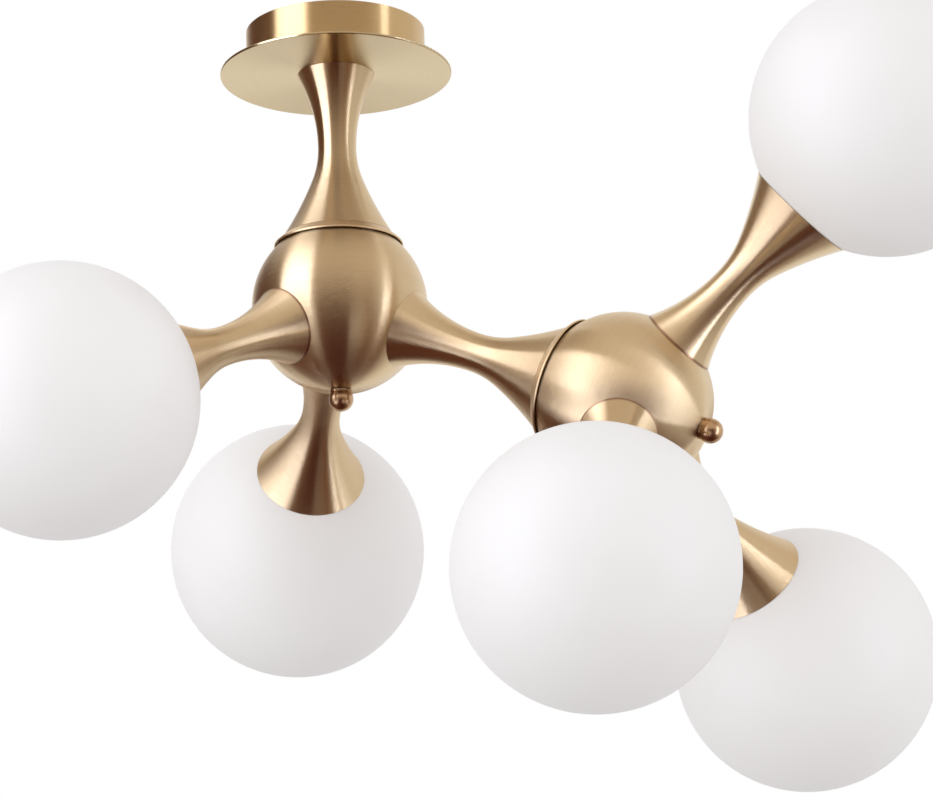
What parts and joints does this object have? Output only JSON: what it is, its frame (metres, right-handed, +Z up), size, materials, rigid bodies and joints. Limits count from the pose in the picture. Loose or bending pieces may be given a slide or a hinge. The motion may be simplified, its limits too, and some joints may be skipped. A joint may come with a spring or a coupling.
{
  "type": "ceiling light",
  "caption": "Ceiling light with a round canopy, waisted brass arms branching from ball hubs that swivel, and screw-in opal glass globes.",
  "frame": {"origin": "centre of the canopy, in the plane of the ceiling", "axes": "+Z up into the ceiling, +X along the ceiling bracket, the pictured view looks along +Y"},
  "size_m": [0.599, 0.5544, 0.4553],
  "materials": {
    "brass": "satin lathe-brushed",
    "finial_brass": "polished, darker",
    "opal_glass": "satin opal",
    "zinc_steel": "zinc plated",
    "screw_brass": "plain turned",
    "terminal_plastic": "moulded",
    "lead_sleeve": "silicone sleeve",
    "splice_plastic": "moulded",
    "bush_nylon": "moulded",
    "holder_aluminium": "turned",
    "lampholder_ceramic": "unglazed",
    "seal_silicone": "translucent",
    "lamp_body": "frosted"
  },
  "bodies": {
    "ceiling_mount": {"ceiling_bracket": "zinc_steel", "earth_screw": "screw_brass", "canopy_cup": "brass", "canopy_disc": "brass", "terminal_block": "terminal_plastic", "supply_lead": "lead_sleeve", "stem_rod": "zinc_steel", "stem_nuts": "zinc_steel", "stem_column": "brass", "stem_collar": "brass"},
    "upper_hub": {"upper_hub_shell": "brass", "upper_hub_bush": "bush_nylon", "upper_hub_nuts": "zinc_steel", "upper_hub_nipples": "zinc_steel", "upper_hub_leads": "lead_sleeve", "upper_hub_splices": "splice_plastic", "connector_rod": "zinc_steel", "connector_column": "brass", "connector_collar": "brass", "arm_1": "brass", "shade_holder_1": "holder_aluminium", "lampholder_1": "lampholder_ceramic", "arm_2": "brass", "shade_holder_2": "holder_aluminium", "lampholder_2": "lampholder_ceramic"},
    "lower_hub": {"lower_hub_shell": "brass", "lower_hub_bush": "bush_nylon", "lower_hub_nuts": "zinc_steel", "lower_hub_nipples": "zinc_steel", "lower_hub_leads": "lead_sleeve", "lower_hub_splices": "splice_plastic", "arm_3": "brass", "shade_holder_3": "holder_aluminium", "lampholder_3": "lampholder_ceramic", "arm_4": "brass", "shade_holder_4": "holder_aluminium", "lampholder_4": "lampholder_ceramic", "arm_5": "brass", "shade_holder_5": "holder_aluminium", "lampholder_5": "lampholder_ceramic"},
    "upper_finial_washer": {"upper_finial_washer": "finial_brass"},
    "upper_finial_knob": {"upper_finial_knob": "finial_brass"},
    "lower_finial_washer": {"lower_finial_washer": "finial_brass"},
    "lower_finial_knob": {"lower_finial_knob": "finial_brass"},
    "seal_1": {"seal_1": "seal_silicone"},
    "globe_1": {"globe_1": "opal_glass"},
    "lamp_1": {"lamp_1": "lamp_body"},
    "seal_2": {"seal_2": "seal_silicone"},
    "globe_2": {"globe_2": "opal_glass"},
    "lamp_2": {"lamp_2": "lamp_body"},
    "seal_3": {"seal_3": "seal_silicone"},
    "globe_3": {"globe_3": "opal_glass"},
    "lamp_3": {"lamp_3": "lamp_body"},
    "seal_4": {"seal_4": "seal_silicone"},
    "globe_4": {"globe_4": "opal_glass"},
    "lamp_4": {"lamp_4": "lamp_body"},
    "seal_5": {"seal_5": "seal_silicone"},
    "globe_5": {"globe_5": "opal_glass"},
    "lamp_5": {"lamp_5": "lamp_body"}
  },
  "joints": [
    {"name": "upper_hub_swivel", "type": "hinge", "parent": "ceiling_mount", "child": "upper_hub", "pos_m": [0, 0, -0.16542], "axis": [0, 0, 1], "range_deg": [-170, 170]},
    {"name": "lower_hub_swivel", "type": "hinge", "parent": "upper_hub", "child": "lower_hub", "pos_m": [0.15655, -0.05698, -0.24311], "axis": [0.8517, -0.31, -0.4226], "range_deg": [-170, 170]},
    {"name": "upper_finial_washer_slide", "type": "slide", "parent": "ceiling_mount", "child": "upper_finial_washer", "axis": [0, 0, -1], "range_m": [0, 0.004]},
    {"name": "upper_finial_turn", "type": "hinge", "parent": "upper_finial_washer", "child": "upper_finial_knob", "pos_m": [0, 0, -0.2198], "axis": [0, 0, -1], "range_deg": [0, 1440]},
    {"name": "lower_finial_washer_slide", "type": "slide", "parent": "upper_hub", "child": "lower_finial_washer", "axis": [0.8517, -0.31, -0.4226], "range_m": [0, 0.004]},
    {"name": "lower_finial_turn", "type": "hinge", "parent": "lower_finial_washer", "child": "lower_finial_knob", "pos_m": [0.20287, -0.07384, -0.26609], "axis": [0.8517, -0.31, -0.4226], "range_deg": [0, 1440]},
    {"name": "seal_1_slide", "type": "slide", "parent": "upper_hub", "child": "seal_1", "axis": [-0.6943, -0.5826, -0.4226], "range_m": [0, 0.006]},
    {"name": "globe_1_turn", "type": "hinge", "parent": "seal_1", "child": "globe_1", "pos_m": [-0.14656, -0.12298, -0.25464], "axis": [-0.6943, -0.5826, -0.4226], "range_deg": [0, 540]},
    {"name": "lamp_1_pull", "type": "slide", "parent": "upper_hub", "child": "lamp_1", "axis": [-0.6943, -0.5826, -0.4226], "range_m": [0, 0.017]},
    {"name": "seal_2_slide", "type": "slide", "parent": "upper_hub", "child": "seal_2", "axis": [-0.1574, 0.8925, -0.4226], "range_m": [0, 0.006]},
    {"name": "globe_2_turn", "type": "hinge", "parent": "seal_2", "child": "globe_2", "pos_m": [-0.03322, 0.18841, -0.25464], "axis": [-0.1574, 0.8925, -0.4226], "range_deg": [0, 540]},
    {"name": "lamp_2_pull", "type": "slide", "parent": "upper_hub", "child": "lamp_2", "axis": [-0.1574, 0.8925, -0.4226], "range_m": [0, 0.017]},
    {"name": "seal_3_slide", "type": "slide", "parent": "lower_hub", "child": "seal_3", "axis": [-0.1004, -0.7535, -0.6497], "range_m": [0, 0.006]},
    {"name": "globe_3_turn", "type": "hinge", "parent": "seal_3", "child": "globe_3", "pos_m": [0.13535, -0.21604, -0.38027], "axis": [-0.1004, -0.7535, -0.6497], "range_deg": [0, 540]},
    {"name": "lamp_3_pull", "type": "slide", "parent": "lower_hub", "child": "lamp_3", "axis": [-0.1004, -0.7535, -0.6497], "range_m": [0, 0.017]},
    {"name": "seal_4_slide", "type": "slide", "parent": "lower_hub", "child": "seal_4", "axis": [0.4887, 0.6962, -0.5257], "range_m": [0, 0.006]},
    {"name": "globe_4_turn", "type": "hinge", "parent": "seal_4", "child": "globe_4", "pos_m": [0.25973, 0.08999, -0.35409], "axis": [0.4887, 0.6962, -0.5257], "range_deg": [0, 540]},
    {"name": "lamp_4_pull", "type": "slide", "parent": "lower_hub", "child": "lamp_4", "axis": [0.4887, 0.6962, -0.5257], "range_m": [0, 0.017]},
    {"name": "seal_5_slide", "type": "slide", "parent": "lower_hub", "child": "seal_5", "axis": [0.6915, -0.3357, 0.6397], "range_m": [0, 0.006]},
    {"name": "globe_5_turn", "type": "hinge", "parent": "seal_5", "child": "globe_5", "pos_m": [0.30252, -0.12785, -0.10808], "axis": [0.6915, -0.3357, 0.6397], "range_deg": [0, 540]},
    {"name": "lamp_5_pull", "type": "slide", "parent": "lower_hub", "child": "lamp_5", "axis": [0.6915, -0.3357, 0.6397], "range_m": [0, 0.017]}
  ],
  "couplings": [
    {"joint": "upper_finial_washer_slide", "follows": "upper_finial_turn", "m_per_rad": 0.00015915},
    {"joint": "lower_finial_washer_slide", "follows": "lower_finial_turn", "m_per_rad": 0.00015915},
    {"joint": "seal_1_slide", "follows": "globe_1_turn", "m_per_rad": 0.00063662},
    {"joint": "seal_2_slide", "follows": "globe_2_turn", "m_per_rad": 0.00063662},
    {"joint": "seal_3_slide", "follows": "globe_3_turn", "m_per_rad": 0.00063662},
    {"joint": "seal_4_slide", "follows": "globe_4_turn", "m_per_rad": 0.00063662},
    {"joint": "seal_5_slide", "follows": "globe_5_turn", "m_per_rad": 0.00063662}
  ]
}
